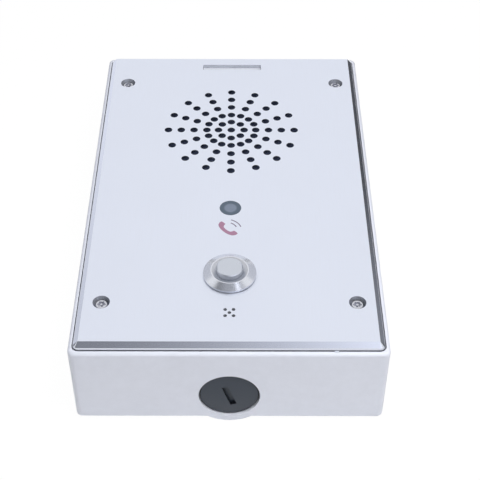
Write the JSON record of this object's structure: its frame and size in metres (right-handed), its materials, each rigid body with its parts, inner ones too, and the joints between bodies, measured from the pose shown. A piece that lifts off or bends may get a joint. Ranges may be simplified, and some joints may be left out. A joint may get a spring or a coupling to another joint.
{
  "type": "outdoor video intercom",
  "caption": "Wall intercom station: deep metal case, bevelled face plate with speaker holes, camera window, sprung call button, microphone holes, light slot and a plugged cable entry.",
  "frame": {"origin": "centre of the four wall holes on the wall plane, the underside of the rubber pads", "axes": "+Z leaves the wall towards the user, +Y is the top of the mounted unit, +X is to its right seen from the front; at rest the unit lies on its back"},
  "size_m": [0.1442, 0.2274, 0.0559],
  "materials": {
    "case_paint": "silver white powder coat, fine grain",
    "plate_metal": "fine satin anodised face with bright cut bevels",
    "stainless": "stainless steel, circular brushed",
    "screw_steel": "bright stainless fasteners",
    "zinc_steel": "zinc plated steel",
    "plug_plastic": "dark grey moulded nylon",
    "seal_rubber": "black elastomer",
    "pad_rubber": "black moulded rubber",
    "gasket_foam": "closed cell foam",
    "window_glass": "smoked flat glass",
    "lens_glass": "coated lens glass",
    "black_plastic": "black moulded plastic",
    "diffuser": "frosted acrylic",
    "board_green": "solder-masked circuit board",
    "board_white": "white solder-masked board",
    "brass": "nickel free brass",
    "copper": "enamelled copper winding",
    "ferrite": "ground ferrite",
    "cone_paper": "treated paper cone",
    "speaker_cloth": "black acoustic cloth",
    "spider_cloth": "resin-dipped cloth",
    "tinned_steel": "tinned sheet",
    "terminal_plastic": "green terminal plastic",
    "relay_plastic": "blue relay case",
    "can_sleeve": "shrink sleeve",
    "bobbin_plastic": "yellow taped bobbin",
    "header_plastic": "ivory connector plastic",
    "led_plastic": "phosphor filled package",
    "red_wire": "red insulation",
    "blue_wire": "blue insulation",
    "grey_wire": "grey insulation",
    "white_wire": "white insulation",
    "symbol_ink": "screen printed mauve ink",
    "ribbon_film": "amber flexible circuit"
  },
  "bodies": {
    "housing": {"rear_housing": "case_paint", "front_plate": "plate_metal", "plate_gasket": "gasket_foam", "plate_screws": "screw_steel", "wall_pads": "pad_rubber", "button_bezel": "stainless", "button_seal": "seal_rubber", "button_nut": "zinc_steel", "button_spring": "screw_steel", "button_contact_block": "black_plastic", "button_terminals": "brass", "camera_window": "window_glass", "window_seal": "seal_rubber", "lens_barrel": "black_plastic", "lens_glass": "lens_glass", "lens_holder": "black_plastic", "image_sensor": "black_plastic", "camera_board": "board_green", "camera_standoffs": "brass", "camera_screws": "zinc_steel", "speaker_mesh": "speaker_cloth", "speaker_gasket": "gasket_foam", "speaker_frame": "zinc_steel", "speaker_surround": "seal_rubber", "speaker_spider": "spider_cloth", "speaker_top_plate": "zinc_steel", "speaker_magnet": "ferrite", "speaker_yoke": "zinc_steel", "speaker_clamps": "zinc_steel", "speaker_screws": "zinc_steel", "mic_membrane": "speaker_cloth", "mic_boot": "seal_rubber", "mic_capsule": "tinned_steel", "light_lens": "diffuser", "light_board": "board_white", "light_leds": "led_plastic", "light_screws": "zinc_steel", "main_board": "board_green", "board_screws": "zinc_steel", "network_jack": "tinned_steel", "terminal_blocks": "terminal_plastic", "lock_relay": "relay_plastic", "capacitors": "can_sleeve", "power_transformer": "bobbin_plastic", "processor_shield": "tinned_steel", "board_chips": "black_plastic", "lead_headers": "header_plastic", "speaker_lead": "red_wire", "button_lead": "blue_wire", "camera_ribbon": "ribbon_film", "mic_lead": "grey_wire", "light_lead": "white_wire"},
    "call_button": {"button_cap": "stainless"},
    "plug_ring": {"plug_seal": "seal_rubber"},
    "cable_plug": {"cable_plug": "plug_plastic"},
    "speaker_cone": {"speaker_cone": "cone_paper", "speaker_dust_cap": "cone_paper", "voice_coil": "copper"}
  },
  "joints": [
    {"name": "call_press", "type": "slide", "parent": "housing", "child": "call_button", "axis": [0, 0, -1], "range_m": [0, 0.0025], "stiffness_N_per_m": 800, "springref_m": -0.003, "deforming": ["button_spring"]},
    {"name": "plug_advance", "type": "slide", "parent": "housing", "child": "plug_ring", "axis": [0, -1, 0], "range_m": [0, 0.0045]},
    {"name": "plug_turn", "type": "hinge", "parent": "plug_ring", "child": "cable_plug", "pos_m": [0, -0.1137, 0.0183], "axis": [0, -1, 0], "range_deg": [0, 1110]},
    {"name": "cone_stroke", "type": "slide", "parent": "housing", "child": "speaker_cone", "axis": [0, 0, 1], "range_m": [-0.0008, 0.0008], "stiffness_N_per_m": 1500, "deforming": ["speaker_surround", "speaker_spider"]}
  ],
  "couplings": [
    {"joint": "plug_turn", "follows": "plug_advance", "rad_per_m": 4188.8}
  ]
}
